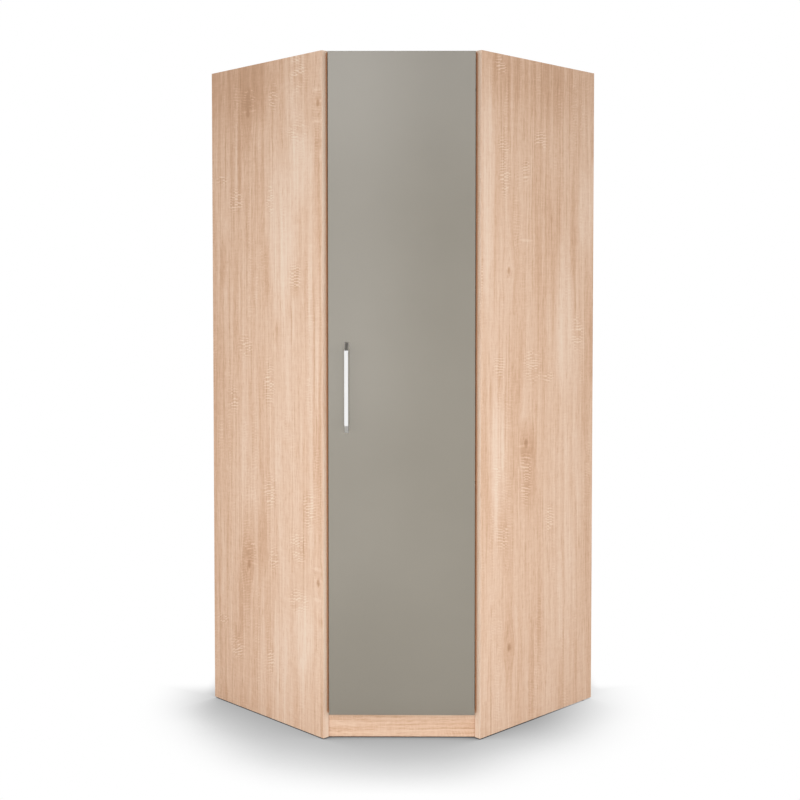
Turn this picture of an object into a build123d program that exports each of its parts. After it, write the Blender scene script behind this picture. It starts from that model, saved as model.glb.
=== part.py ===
from build123d import *
import os
from math import sqrt

# Corner wardrobe with a diagonal front and one hinged door. Sizes are millimetres.
# The plan is a pentagon: two equal sides stand against the walls of a room corner,
# an end panel stands square to each wall, and the door closes the diagonal between them.
# The front faces -Y, the room corner is at +Y and +Z is up. The origin is on the floor,
# in the middle of the overall box.

# Carcass
overall_height = 2100.0
wall_run = 900.0
side_depth = 560.0
side_thickness = 22.0
deck_thickness = 22.0
edge_band_thickness = 1.0
plinth_height = 64.0
plinth_thickness = 16.0

# Feet
glide_height = 4.0
glide_radius = 7.0
glide_nail_radius = 1.5
glide_nail_length = 14.0
glide_rear_inset = 37.0
glide_front_inset = 60.0

# Back panels and the post in the room corner
back_thickness = 4.0
back_inset = 10.0
groove_depth = 8.0
groove_play = 0.2
post_size = 40.0

# Hat shelf
shelf_thickness = 18.0
shelf_headroom = 318.0
shelf_setback = 60.0
shelf_play = 0.5
shelf_pin_radius = 2.5
shelf_pin_seat_radius = 3.5
shelf_pin_grip = 8.0
shelf_pin_reach = 9.0
shelf_pin_inset = 80.0

# Hanging rail
rail_length = 900.0
rail_radius = 12.5
rail_wall = 1.2
rail_setback = 400.0
rail_drop = 50.0
rail_play = 0.1
rail_cap_lip = 2.0
rail_cap_plug = 15.0
bracket_end_inset = 60.0
bracket_width = 22.0
bracket_ring_wall = 3.0
bracket_plate_length = 60.0
bracket_plate_thickness = 3.0
bracket_stem_length = 24.0
bracket_screw_spacing = 44.0

# Door
door_thickness = 18.0
door_proud = 3.0
door_side_gap = 2.0
door_bottom = 78.0
door_top_gap = 3.0
door_back_gap = 4.0
door_edge_radius = 1.0

# Handle
handle_length = 276.0
handle_bar_length = 227.0
handle_width = 12.5
handle_projection = 28.0
handle_bar_thickness = 7.0
handle_foot_length = 18.0
handle_hole_spacing = 256.0
handle_round = 2.0
handle_bend_radius = 6.0
handle_inset = 55.9
handle_middle_height = 1083.0
handle_screw_radius = 2.0
handle_screw_bite = 8.0
handle_screw_head_radius = 4.0
handle_screw_head_height = 2.2

# Door bumpers
bumper_radius = 4.0
bumper_play = 0.3
bumper_inset = 30.0

# Hinges: a cup let into the door, a pin across it, a gooseneck arm and a side plate
hinge_count = 4
hinge_end_inset = 110.0
pin_edge_distance = 8.0
pin_depth = 9.0
pin_radius = 1.5
pin_half_length = 9.5
pin_play = 0.05
cup_radius = 17.4
cup_play = 0.1
cup_depth = 13.0
cup_wall = 1.0
cup_floor = 0.8
cup_edge_distance = 20.5
cup_flange_thickness = 1.2
cup_flange_half_width = 7.0
cup_flange_half_length = 30.0
cup_screw_offset = 24.0
ear_front = 3.5
ear_top = 3.0
arm_thickness = 2.5
arm_half_width = 5.0
arm_side_play = 0.4
arm_reach = 15.5
arm_heel_radius = 2.5
arm_bend_radius = 8.0
knuckle_radius = 2.6
plate_setback = 37.0
plate_half_width = 12.0
plate_half_height = 26.0
plate_thickness = 3.0
plate_boss_half_height = 7.0
plate_screw_offset = 16.0
arm_screw_radius = 2.0
arm_screw_length = 9.0
arm_screw_head_radius = 3.5
arm_screw_head_height = 1.8

# Knock-down fittings between the decks and the side panels
cam_radius = 7.5
cam_play = 0.1
cam_reach = 34.0
cam_floor = 3.0
cam_bolt_radius = 3.0
cam_bolt_neck_radius = 2.0
cam_bolt_head_length = 4.0
cam_bolt_neck_length = 4.0
cam_bolt_thread = 11.0
cam_inset = 70.0
dowel_offset = 32.0
dowel_radius = 4.0
dowel_half_length = 14.0
joint_play = 0.1
post_dowel_radius = 3.0
post_dowel_grip = 8.0
post_dowel_reach = 16.0
plinth_dowel_spacing = 300.0
plinth_dowel_half_length = 12.0

# Small wood screws and nails
screw_radius = 1.75
screw_length = 13.0
screw_head_radius = 3.5
screw_head_height = 1.8
nail_radius = 0.9
nail_length = 20.0
nail_head_radius = 2.0
nail_head_height = 0.6
nail_end_inset = 110.0
nail_count = 4

# Angle brackets
plinth_bracket_leg = 28.0
plinth_bracket_width = 20.0
plinth_bracket_thickness = 2.0
plinth_bracket_spacing = 200.0
wall_bracket_leg = 40.0
wall_bracket_width = 30.0
wall_bracket_thickness = 2.0
wall_fixing_radius = 3.0

# One overrun serves every cut
overrun = 5.0

# Worked-out places. Wall coordinates run from the room corner: the first along the left
# wall, the second along the right wall.
root_two = sqrt(2)
corner_depth = (wall_run + side_depth) / root_two
tip_x = (wall_run - side_depth) / root_two
tip_y = -(corner_depth - door_proud - handle_projection) / 2
corner_y = tip_y + corner_depth
inner = wall_run - side_thickness
side_low = glide_height
top_low = overall_height - deck_thickness
shelf_underside = top_low - shelf_headroom
bottom_low = side_low + plinth_height
bottom_high = bottom_low + deck_thickness
rear = back_inset + back_thickness
door_half = tip_x - side_thickness / root_two - door_side_gap
door_front = tip_y - door_proud
door_rear = door_front + door_thickness
door_top = overall_height - door_top_gap
front_setback = door_thickness - door_proud + door_back_gap
deck_front = tip_y + front_setback
pin_x = door_half - pin_edge_distance
pin_y = door_front + pin_depth
cup_x = door_half - cup_edge_distance
handle_x = handle_inset - door_half
bracket_spacing = rail_length - 2 * bracket_end_inset
hinge_low = door_bottom + hinge_end_inset
hinge_step = (door_top - hinge_end_inset - hinge_low) / (hinge_count - 1)
hinge_heights = [hinge_low + hinge_step * i for i in range(hinge_count)]
arm_wall_gap = side_thickness + (pin_x - tip_x + tip_y - pin_y) / root_two
arm_height = arm_reach - arm_wall_gap
plate_place = side_depth - plate_setback
cam_places = [cam_inset, side_depth - cam_inset]
dowel_places = [cam_inset + dowel_offset, side_depth - cam_inset - dowel_offset]
shelf_pin_places = [shelf_pin_inset, side_depth - shelf_pin_inset]
deck_levels = [bottom_low, top_low]
wall_frame = Location((0, corner_y, 0), (0, 0, -135))
CORNER = (Align.MIN, Align.MIN, Align.MIN)
BASE = (Align.CENTER, Align.CENTER, Align.MIN)


def block(low, high):
    """A box between its lowest and highest corners."""
    sizes = [high[i] - low[i] for i in range(3)]
    return Pos(*low) * Box(*sizes, align=CORNER)


def rod(start, direction, radius, length):
    """A round bar from a point along a direction."""
    return Plane(origin=start, z_dir=direction) * Cylinder(radius, length, align=BASE)


def prism(points, low, height):
    """An upright solid on an outline."""
    outline = make_face(Polyline(*points, close=True))
    return Pos(0, 0, low) * extrude(outline, height, dir=(0, 0, 1))


def cut(body, tools):
    """The body with every tool taken away."""
    return body - tools if tools else body


def group(shapes):
    """Separate solids that share one node."""
    return Compound([solid for shape in shapes for solid in shape.solids()])


def mirrored(shape):
    """The same shape on the other side of the middle."""
    return mirror(shape, about=Plane.YZ)


def placed(shapes):
    """Shapes in wall coordinates, put in the part's own frame."""
    return [wall_frame * shape for shape in shapes]


def both(shapes):
    """Right-hand shapes in wall coordinates, and their left-hand twins, in the part's frame."""
    right = placed(shapes)
    return right + [mirrored(shape) for shape in right]


def screw(start, direction, radius, length, head_radius, head_height):
    """A pan-head screw: the start is under the head, the direction runs to its point."""
    shank = rod(start, direction, radius, length)
    head = rod(start, [-c for c in direction], head_radius, head_height)
    return shank + head


def wood_screw(start, direction):
    return screw(start, direction, screw_radius, screw_length, screw_head_radius, screw_head_height)


def screw_hole(start, direction, depth):
    return rod(start, direction, screw_radius + joint_play, depth)


def deck_points(front_offset, side_play):
    """The pentagon of a deck or shelf in wall coordinates, set back from the tip line."""
    side = inner - side_play
    front = wall_run + side_depth - front_offset * root_two
    return [(rear, rear), (side, rear), (side, front - side), (front - side, side), (rear, side)]


# Places of the fittings on the right-hand side, in wall coordinates


def cam_bolt_holes(level):
    middle = level + deck_thickness / 2
    radius = cam_bolt_radius + joint_play
    reach = cam_bolt_thread + joint_play
    return [
        rod((place, inner + reach, middle), (0, -1, 0), radius, reach + cam_reach)
        for place in cam_places
    ]


def cam_bolt(place, middle):
    thread = rod((place, inner + cam_bolt_thread, middle), (0, -1, 0), cam_bolt_radius, cam_bolt_thread)
    head_start = inner - cam_reach + cam_bolt_head_length
    stem_length = cam_reach - cam_bolt_head_length - cam_bolt_neck_length
    stem = rod((place, inner, middle), (0, -1, 0), cam_bolt_radius, stem_length)
    neck = rod((place, inner, middle), (0, -1, 0), cam_bolt_neck_radius, cam_reach)
    head = rod((place, head_start, middle), (0, -1, 0), cam_bolt_radius, cam_bolt_head_length)
    return thread + stem + neck + head


def cam_length():
    return deck_thickness / 2 + cam_bolt_radius + cam_floor


def cam_pockets(level):
    radius = cam_radius + cam_play
    start = level - overrun
    length = cam_length() + overrun + cam_play
    return [rod((place, inner - cam_reach, start), (0, 0, 1), radius, length) for place in cam_places]


def cam(place, level):
    """The cam drum, open on the bolt's side for the bolt's head."""
    drum = rod((place, inner - cam_reach, level), (0, 0, 1), cam_radius, cam_length())
    middle = level + deck_thickness / 2
    channel_length = cam_reach + cam_bolt_radius
    channel = rod((place, inner, middle), (0, -1, 0), cam_bolt_radius + joint_play, channel_length)
    slot_low = (place - screw_radius / 2, inner - cam_reach - cam_radius / 2, level - overrun)
    slot_high = (place + screw_radius / 2, inner - cam_reach + cam_radius / 2, level + screw_head_height)
    return cut(drum, [channel, block(slot_low, slot_high)])


def dowels(level, play):
    middle = level + deck_thickness / 2
    half = dowel_half_length + play
    return [
        rod((place, inner + half, middle), (0, -1, 0), dowel_radius + play, 2 * half)
        for place in dowel_places
    ]


def post_dowels(level, play):
    middle = level + deck_thickness / 2
    place = (rear + post_size) / 2
    start = post_size - post_dowel_grip - play
    length = post_dowel_grip + post_dowel_reach + 2 * play
    return [rod((place, start, middle), (0, 1, 0), post_dowel_radius + play, length)]


def side_pin(place, play):
    """A shelf pin in the side panel, its seat under the shelf."""
    level = shelf_underside - shelf_pin_seat_radius
    grip = rod((place, inner, level), (0, 1, 0), shelf_pin_radius + play, shelf_pin_grip + play)
    seat = rod((place, inner, level), (0, -1, 0), shelf_pin_seat_radius, shelf_pin_reach)
    return grip if play else grip + seat


def post_pin(play):
    """A shelf pin in the corner post, clear of the groove."""
    level = shelf_underside - shelf_pin_seat_radius
    place = (rear + post_size) / 2
    start = (place, post_size, level)
    grip = rod(start, (0, -1, 0), shelf_pin_radius + play, shelf_pin_grip / 2 + play)
    seat = rod(start, (0, 1, 0), shelf_pin_seat_radius, shelf_pin_reach)
    return grip if play else grip + seat


def nail_rows():
    """Starts of the nails through the right-hand back panel, on its rear face."""
    step = (inner - 2 * nail_end_inset) / (nail_count - 1)
    levels = [bottom_low + deck_thickness / 2, top_low + deck_thickness / 2]
    levels.append(shelf_underside + shelf_thickness / 2)
    return [(back_inset, nail_end_inset + step * i, level) for level in levels for i in range(nail_count)]


def nail_holes():
    return [rod(start, (1, 0, 0), nail_radius + joint_play, nail_length + overrun) for start in nail_rows()]


def glide_places():
    """Middles of the right-hand side panel's glides."""
    across = wall_run - side_thickness / 2
    return [(glide_rear_inset, across), (side_depth - glide_front_inset, across)]


def glide(x, y):
    disc = rod((x, y, 0), (0, 0, 1), glide_radius, glide_height)
    nail = rod((x, y, 0), (0, 0, 1), glide_nail_radius, glide_height + glide_nail_length)
    return disc + nail


def glide_hole(x, y):
    depth = glide_height + glide_nail_length + joint_play
    return rod((x, y, 0), (0, 0, 1), glide_nail_radius + joint_play, depth)


def plate_screw_holes():
    """Pilot holes for the hinge plates' screws in the right-hand side panel."""
    radius = screw_radius + joint_play
    depth = screw_length - plate_thickness + joint_play
    return [
        rod((plate_place, inner, level + side * plate_screw_offset), (0, 1, 0), radius, depth)
        for level in hinge_heights
        for side in (-1, 1)
    ]


# Carcass panels


def side_panel(extra_holes):
    """The right-hand side panel, in wall coordinates."""
    board = block((0, inner, side_low), (side_depth - edge_band_thickness, wall_run, overall_height))
    groove_low = (back_inset - groove_play, inner - overrun, side_low - overrun)
    groove_high = (rear + groove_play, inner + groove_depth, overall_height + overrun)
    tools = [block(groove_low, groove_high)]
    for level in deck_levels:
        tools += cam_bolt_holes(level)
        tools += dowels(level, joint_play)
    tools += [side_pin(place, joint_play) for place in shelf_pin_places]
    tools += [glide_hole(*place) for place in glide_places()]
    return cut(board, tools + extra_holes)


def edge_band():
    low = (side_depth - edge_band_thickness, inner, side_low)
    return block(low, (side_depth, wall_run, overall_height))


def deck(level):
    """The top or bottom panel, in the part's frame, with its housings on the underside."""
    board = wall_frame * prism(deck_points(front_setback + edge_band_thickness, 0), level, deck_thickness)
    notch_low = (0, 0, level - overrun)
    notch = wall_frame * block(notch_low, (post_size, post_size, level + deck_thickness + overrun))
    right = cam_bolt_holes(level) + cam_pockets(level) + dowels(level, joint_play)
    right += post_dowels(level, joint_play) + nail_holes()
    return cut(board, [notch] + both(right))


def front_band(level, thickness, setback, side_play):
    """The strip glued on the diagonal front edge of a deck or the shelf."""
    near = tip_y + setback
    half = tip_x - side_thickness * root_two + setback - side_play * root_two
    far_half = half + edge_band_thickness
    far = near + edge_band_thickness
    points = [(-half, near), (half, near), (far_half, far), (-far_half, far)]
    return prism(points, level, thickness)


def plinth():
    """The board under the bottom panel, its ends cut to the side panels."""
    half = tip_x - side_thickness * root_two + front_setback
    far = deck_front + plinth_thickness
    far_half = half + plinth_thickness
    points = [(-half, deck_front), (half, deck_front), (far_half, far), (-far_half, far)]
    board = prism(points, side_low, plinth_height)
    return cut(board, plinth_dowels(joint_play) + plinth_screw_holes())


def plinth_dowels(play):
    half = plinth_dowel_half_length + play
    y = deck_front + plinth_thickness / 2
    return [
        rod((side * plinth_dowel_spacing / 2, y, bottom_low - half), (0, 0, 1), dowel_radius + play, 2 * half)
        for side in (-1, 1)
    ]


def bottom_panel():
    return cut(deck(bottom_low), plinth_dowels(joint_play) + plinth_screw_holes())


def top_panel():
    return cut(deck(top_low), both(wall_bracket_screw_holes()))


def back_panel():
    """The right-hand back panel, in wall coordinates."""
    low = (back_inset, post_size - groove_depth + groove_play, bottom_low)
    board = block(low, (rear, inner + groove_depth - groove_play, overall_height))
    return cut(board, nail_holes() + [wall_fixing_hole()])


def corner_post():
    post = wall_frame * block((0, 0, side_low), (post_size, post_size, overall_height))
    groove_low = (back_inset - groove_play, post_size - groove_depth, side_low - overrun)
    groove_high = (rear + groove_play, post_size + overrun, overall_height + overrun)
    right = [block(groove_low, groove_high), post_pin(joint_play)]
    for level in deck_levels:
        right += post_dowels(level, joint_play)
    feet = placed([glide_hole(post_size / 2, post_size / 2)])
    return cut(post, both(right) + feet)


def hat_shelf():
    points = deck_points(shelf_setback + edge_band_thickness, shelf_play)
    board = wall_frame * prism(points, shelf_underside, shelf_thickness)
    notch_low = (0, 0, shelf_underside - overrun)
    notch_size = post_size + shelf_play
    notch_top = shelf_underside + shelf_thickness + overrun
    notch = wall_frame * block(notch_low, (notch_size, notch_size, notch_top))
    return cut(board, [notch] + both(nail_holes()) + bracket_screw_holes())


# Hanging rail


def rail():
    start = (-rail_length / 2, tip_y + rail_setback, shelf_underside - rail_drop)
    tube = rod(start, (1, 0, 0), rail_radius, rail_length)
    return cut(tube, [rod(start, (1, 0, 0), rail_radius - rail_wall, rail_length)])


def rail_caps():
    end = (rail_length / 2, tip_y + rail_setback, shelf_underside - rail_drop)
    cap = rod(end, (1, 0, 0), rail_radius, rail_cap_lip)
    cap += rod(end, (-1, 0, 0), rail_radius - rail_wall - rail_play, rail_cap_plug)
    return group([cap, mirrored(cap)])


def rail_bracket():
    """The right-hand hanger: plate, stem and ring."""
    x = bracket_spacing / 2
    y = tip_y + rail_setback
    z = shelf_underside - rail_drop
    half = bracket_width / 2
    ring_radius = rail_radius + bracket_ring_wall
    ring = rod((x - half, y, z), (1, 0, 0), ring_radius, bracket_width)
    stem_half = bracket_stem_length / 2
    stem = block((x - half, y - stem_half, z), (x + half, y + stem_half, shelf_underside))
    plate_half = bracket_plate_length / 2
    plate_low = (x - half, y - plate_half, shelf_underside - bracket_plate_thickness)
    plate = block(plate_low, (x + half, y + plate_half, shelf_underside))
    bore = rod((x - half, y, z), (1, 0, 0), rail_radius + rail_play, bracket_width)
    return cut(ring + stem + plate, [bore] + bracket_screw_holes())


def bracket_screw_starts():
    level = shelf_underside - bracket_plate_thickness
    return [
        (x * bracket_spacing / 2, tip_y + rail_setback + y * bracket_screw_spacing / 2, level)
        for x in (-1, 1)
        for y in (-1, 1)
    ]


def bracket_screw_holes():
    return [screw_hole(start, (0, 0, 1), screw_length + joint_play) for start in bracket_screw_starts()]


# Angle brackets


def plinth_bracket(x):
    """An angle bracket in the corner behind the plinth, under the bottom panel."""
    half = plinth_bracket_width / 2
    y = deck_front + plinth_thickness
    low_leg = block(
        (x - half, y, bottom_low - plinth_bracket_leg),
        (x + half, y + plinth_bracket_thickness, bottom_low),
    )
    top_leg = block(
        (x - half, y, bottom_low - plinth_bracket_thickness),
        (x + half, y + plinth_bracket_leg, bottom_low),
    )
    return cut(low_leg + top_leg, plinth_screw_holes())


def plinth_screws():
    """Starts and directions of the plinth brackets' screws."""
    y = deck_front + plinth_thickness
    middle = (plinth_bracket_leg + plinth_bracket_thickness) / 2
    places = []
    for side in (-1, 1):
        x = side * plinth_bracket_spacing / 2
        places.append(((x, y + middle, bottom_low - plinth_bracket_thickness), (0, 0, 1)))
        places.append(((x, y + plinth_bracket_thickness, bottom_low - middle), (0, -1, 0)))
    return places


def plinth_screw_holes():
    return [screw_hole(start, direction, screw_length + joint_play) for start, direction in plinth_screws()]


def wall_bracket():
    """The right-hand bracket that ties the wardrobe to the wall, in wall coordinates."""
    middle = wall_run / 2
    half = wall_bracket_width / 2
    upright = block(
        (rear, middle - half, top_low - wall_bracket_leg),
        (rear + wall_bracket_thickness, middle + half, top_low),
    )
    flat = block(
        (rear, middle - half, top_low - wall_bracket_thickness),
        (rear + wall_bracket_leg, middle + half, top_low),
    )
    return cut(upright + flat, wall_bracket_screw_holes() + [wall_fixing_hole()])


def wall_bracket_screw_starts():
    place = rear + wall_bracket_leg / 2
    level = top_low - wall_bracket_thickness
    return [(place, (wall_run + side * wall_bracket_width / 2) / 2, level) for side in (-1, 1)]


def wall_bracket_screw_holes():
    return [screw_hole(start, (0, 0, 1), screw_length + joint_play) for start in wall_bracket_screw_starts()]


def wall_fixing_hole():
    """The hole for a screw into the wall, through the bracket and the back panel."""
    start = (0, wall_run / 2, top_low - wall_bracket_leg / 2)
    return rod(start, (1, 0, 0), wall_fixing_radius, rear + wall_bracket_thickness + overrun)


# Door


def door_panel():
    board = block((-door_half, door_front, door_bottom), (door_half, door_rear, door_top))
    board = fillet(board.faces().sort_by(Axis.Y)[0].edges(), door_edge_radius)
    tools = []
    for level in hinge_heights:
        pocket_start = (cup_x, door_rear - cup_depth - cup_play, level)
        tools.append(rod(pocket_start, (0, 1, 0), cup_radius + cup_play, cup_depth + overrun))
        tools += [screw_hole(start, (0, -1, 0), screw_length) for start in cup_screw_starts(level)]
    for start in handle_screw_starts():
        tools.append(rod(start, (0, -1, 0), handle_screw_radius + joint_play, door_thickness + overrun))
    return cut(board, tools)


def handle_profile():
    """The handle's side view: distance out from the door, then height."""
    out = handle_projection
    under = handle_projection - handle_bar_thickness
    end = handle_length / 2
    bar = handle_bar_length / 2
    foot = end - handle_foot_length
    under_bar = bar - handle_bar_thickness
    upper = [(0, foot), (0, end), (out, bar)]
    lower = [(out, -bar), (0, -end), (0, -foot)]
    return upper + lower + [(under, -under_bar), (under, under_bar)]


def handle():
    """A bow handle with sloped ends, rounded in front."""
    side_view = Plane(origin=(handle_x - handle_width / 2, door_front, handle_middle_height),
                      x_dir=(0, -1, 0), z_dir=(1, 0, 0))
    outline = make_face(Polyline(*handle_profile(), close=True))
    far = outline.vertices().filter_by_position(Axis.X, handle_projection, handle_projection)
    outline = fillet(far, handle_bend_radius)
    bow = extrude(side_view * outline, handle_width, dir=(1, 0, 0))
    rounded = [edge for edge in bow.edges() if on_outer_bow(edge)]
    bow = fillet(rounded, handle_round)
    holes = [
        rod((x, door_front, z), (0, -1, 0), handle_screw_radius, handle_screw_bite)
        for x, _, z in handle_screw_starts()
    ]
    return cut(bow, holes)


def on_outer_bow(edge):
    """True for the long edges of the handle that face away from the door."""
    box = edge.bounding_box()
    if box.size.X > handle_round:
        return False
    middle = edge.center()
    reach = door_front - middle.Y
    height = abs(middle.Z - handle_middle_height)
    if reach < handle_bar_thickness / 2:
        return False
    slope = (handle_length - handle_bar_length) / 2 / handle_projection
    outer = handle_length / 2 - reach * slope
    if height > handle_bar_length / 2 - handle_bend_radius:
        return abs(height - outer) < handle_bar_thickness / 2
    return reach > handle_projection - handle_bar_thickness / 2


def handle_screw_starts():
    return [
        (handle_x, door_rear, handle_middle_height + side * handle_hole_spacing / 2)
        for side in (-1, 1)
    ]


def handle_screw(start):
    length = door_thickness + handle_screw_bite - joint_play
    return screw(start, (0, -1, 0), handle_screw_radius, length, handle_screw_head_radius,
                 handle_screw_head_height)


def bumper(level):
    x = bumper_inset - door_half
    return rod((x, door_rear, level), (0, 1, 0), bumper_radius, door_back_gap - bumper_play)


# Hinges


def cup_screw_starts(level):
    y = door_rear + cup_flange_thickness
    return [(cup_x, y, level + side * cup_screw_offset) for side in (-1, 1)]


def hinge_cup(level):
    """The cup in the door, with two ears that hold the pin."""
    floor_y = door_rear - cup_depth
    cavity_radius = cup_radius - cup_wall
    shell = rod((cup_x, floor_y, level), (0, 1, 0), cup_radius, cup_depth)
    flange_low = (cup_x - cup_flange_half_width, door_rear, level - cup_flange_half_length)
    flange_high = (
        cup_x + cup_flange_half_width,
        door_rear + cup_flange_thickness,
        level + cup_flange_half_length,
    )
    rim = rod((cup_x, door_rear, level), (0, 1, 0), cup_radius + cup_wall, cup_flange_thickness)
    cavity = rod((cup_x, floor_y + cup_floor, level), (0, 1, 0), cavity_radius, cup_depth + overrun)
    body = cut(shell + rim + block(flange_low, flange_high), [cavity])
    ear_limit = cup_radius - cup_wall / 2
    ears = []
    for side in (-1, 1):
        near = level + side * (arm_half_width + arm_side_play)
        far = level + side * cup_radius
        low = (pin_x - ear_front, floor_y, min(near, far))
        high = (cup_x + cup_radius, pin_y + ear_top, max(near, far))
        ears.append(block(low, high) & rod((cup_x, floor_y, level), (0, 1, 0), ear_limit, cup_depth))
    bore = rod((pin_x, pin_y, level - pin_half_length), (0, 0, 1), pin_radius, 2 * pin_half_length)
    holes = [screw_hole(start, (0, -1, 0), screw_length) for start in cup_screw_starts(level)]
    return cut(body + ears[0] + ears[1], [bore] + holes)


def hinge_pin(level):
    return rod((pin_x, pin_y, level - pin_half_length), (0, 0, 1), pin_radius, 2 * pin_half_length)


def hinge_arm(level):
    """The gooseneck arm: out of the cup, round the door's edge and back along the side panel."""
    low = level - arm_half_width
    width = 2 * arm_half_width
    run = arm_end_run()
    heel = (pin_x - arm_reach, pin_y)
    bend = (heel[0], pin_y + arm_reach * (root_two - 1))
    end = (bend[0] + run / root_two, bend[1] + run / root_two)
    path = FilletPolyline((pin_x, pin_y), heel, bend, end, radius=[arm_heel_radius, arm_bend_radius])
    start = Plane(origin=(pin_x, pin_y, 0), x_dir=(0, 0, 1), z_dir=(-1, 0, 0))
    arm = Pos(0, 0, level) * sweep(start * Rectangle(width, arm_thickness), path=path)
    arm += rod((pin_x, pin_y, low), (0, 0, 1), knuckle_radius, width)
    bore = rod((pin_x, pin_y, low), (0, 0, 1), pin_radius + pin_play, width)
    return cut(arm, [bore, wall_frame * arm_screw_hole(level)])


def arm_end_run():
    """Length of the arm's straight back run, to the rear end of its side plate's boss."""
    front_edge = (tip_x - pin_x + tip_y - pin_y) / root_two
    start = arm_reach * (root_two - 2) / root_two
    return front_edge + plate_setback + plate_half_width - start


def arm_screw_start(level):
    return (plate_place, inner - arm_height - arm_thickness / 2, level)


def arm_screw_hole(level):
    depth = arm_screw_length + joint_play
    return rod(arm_screw_start(level), (0, 1, 0), arm_screw_radius + joint_play, depth)


def arm_screw(level):
    return screw(arm_screw_start(level), (0, 1, 0), arm_screw_radius, arm_screw_length,
                 arm_screw_head_radius, arm_screw_head_height)


def hinge_plate(level):
    """The side plate with its boss, in wall coordinates."""
    base_low = (plate_place - plate_half_width, inner - plate_thickness, level - plate_half_height)
    base = block(base_low, (plate_place + plate_half_width, inner, level + plate_half_height))
    boss_top = inner - arm_height + arm_thickness / 2
    boss_low = (plate_place - plate_half_width, boss_top, level - plate_boss_half_height)
    boss = block(boss_low, (plate_place + plate_half_width, inner, level + plate_boss_half_height))
    holes = [arm_screw_hole(level)]
    for side in (-1, 1):
        start = (plate_place, inner - plate_thickness, level + side * plate_screw_offset)
        holes.append(screw_hole(start, (0, 1, 0), screw_length))
    return cut(base + boss, holes)


def plate_screws(level):
    return [
        wood_screw((plate_place, inner - plate_thickness, level + side * plate_screw_offset), (0, 1, 0))
        for side in (-1, 1)
    ]


def hinge_parts():
    """Every hinge's own pieces, numbered from the bottom."""
    pieces = {}
    for number, level in enumerate(hinge_heights, start=1):
        pieces[f"hinge_cup_{number}"] = hinge_cup(level)
        pieces[f"hinge_arm_{number}"] = hinge_arm(level)
        pieces[f"hinge_plate_{number}"] = wall_frame * hinge_plate(level)
    pieces["hinge_pins"] = group([hinge_pin(level) for level in hinge_heights])
    cup_screws = []
    side_screws = []
    for level in hinge_heights:
        cup_screws += [wood_screw(start, (0, -1, 0)) for start in cup_screw_starts(level)]
        side_screws += placed(plate_screws(level))
    pieces["hinge_cup_screws"] = group(cup_screws)
    pieces["hinge_plate_screws"] = group(side_screws)
    pieces["hinge_arm_screws"] = group(placed([arm_screw(level) for level in hinge_heights]))
    return pieces


def carcass_parts():
    right_side = wall_frame * side_panel(plate_screw_holes())
    left_side = mirrored(wall_frame * side_panel([]))
    band = wall_frame * edge_band()
    right_back = wall_frame * back_panel()
    right_wall_bracket = wall_frame * wall_bracket()
    right_rail_bracket = rail_bracket()
    return {
        "left_side_panel": left_side,
        "right_side_panel": right_side,
        "left_edge_band": mirrored(band),
        "right_edge_band": band,
        "top_panel": top_panel(),
        "top_edge_band": front_band(top_low, deck_thickness, front_setback, 0),
        "bottom_panel": bottom_panel(),
        "bottom_edge_band": front_band(bottom_low, deck_thickness, front_setback, 0),
        "plinth": plinth(),
        "left_back_panel": mirrored(right_back),
        "right_back_panel": right_back,
        "corner_post": corner_post(),
        "hat_shelf": hat_shelf(),
        "shelf_edge_band": front_band(shelf_underside, shelf_thickness, shelf_setback, shelf_play),
        "hanging_rail": rail(),
        "rail_end_caps": rail_caps(),
        "rail_bracket_left": mirrored(right_rail_bracket),
        "rail_bracket_right": right_rail_bracket,
        "plinth_bracket_left": plinth_bracket(-plinth_bracket_spacing / 2),
        "plinth_bracket_right": plinth_bracket(plinth_bracket_spacing / 2),
        "wall_bracket_left": mirrored(right_wall_bracket),
        "wall_bracket_right": right_wall_bracket,
    }


def fitting_parts():
    bolts = []
    cams = []
    pegs = []
    thin_pegs = []
    for level in deck_levels:
        bolts += [cam_bolt(place, level + deck_thickness / 2) for place in cam_places]
        cams += [cam(place, level) for place in cam_places]
        pegs += dowels(level, 0)
        thin_pegs += post_dowels(level, 0)
    pins = [side_pin(place, 0) for place in shelf_pin_places] + [post_pin(0)]
    nails = [
        screw(start, (1, 0, 0), nail_radius, nail_length, nail_head_radius, nail_head_height)
        for start in nail_rows()
    ]
    feet = both([glide(*place) for place in glide_places()])
    feet += placed([glide(post_size / 2, post_size / 2)])
    wall_screws = [wood_screw(start, (0, 0, 1)) for start in wall_bracket_screw_starts()]
    return {
        "cam_bolts": group(both(bolts)),
        "cam_locks": group(both(cams)),
        "panel_dowels": group(both(pegs)),
        "post_dowels": group(both(thin_pegs)),
        "plinth_dowels": group(plinth_dowels(0)),
        "shelf_pins": group(both(pins)),
        "back_panel_nails": group(both(nails)),
        "glides": group(feet),
        "wall_bracket_screws": group(both(wall_screws)),
        "plinth_bracket_screws": group([wood_screw(*place) for place in plinth_screws()]),
        "rail_bracket_screws": group([wood_screw(start, (0, 0, 1)) for start in bracket_screw_starts()]),
    }


def door_parts():
    bumper_levels = [(door_bottom + bottom_high) / 2, (door_top + top_low) / 2]
    return {
        "door_panel": door_panel(),
        "door_handle": handle(),
        "handle_screws": group([handle_screw(start) for start in handle_screw_starts()]),
        "door_bumpers": group([bumper(level) for level in bumper_levels]),
    }


def build():
    pieces = carcass_parts()
    pieces.update(fitting_parts())
    pieces.update(door_parts())
    pieces.update(hinge_parts())
    return pieces


os.makedirs("parts", exist_ok=True)
for name, piece in build().items():
    export_step(piece, f"parts/{name}.step")
    print(name, round(piece.volume))
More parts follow.
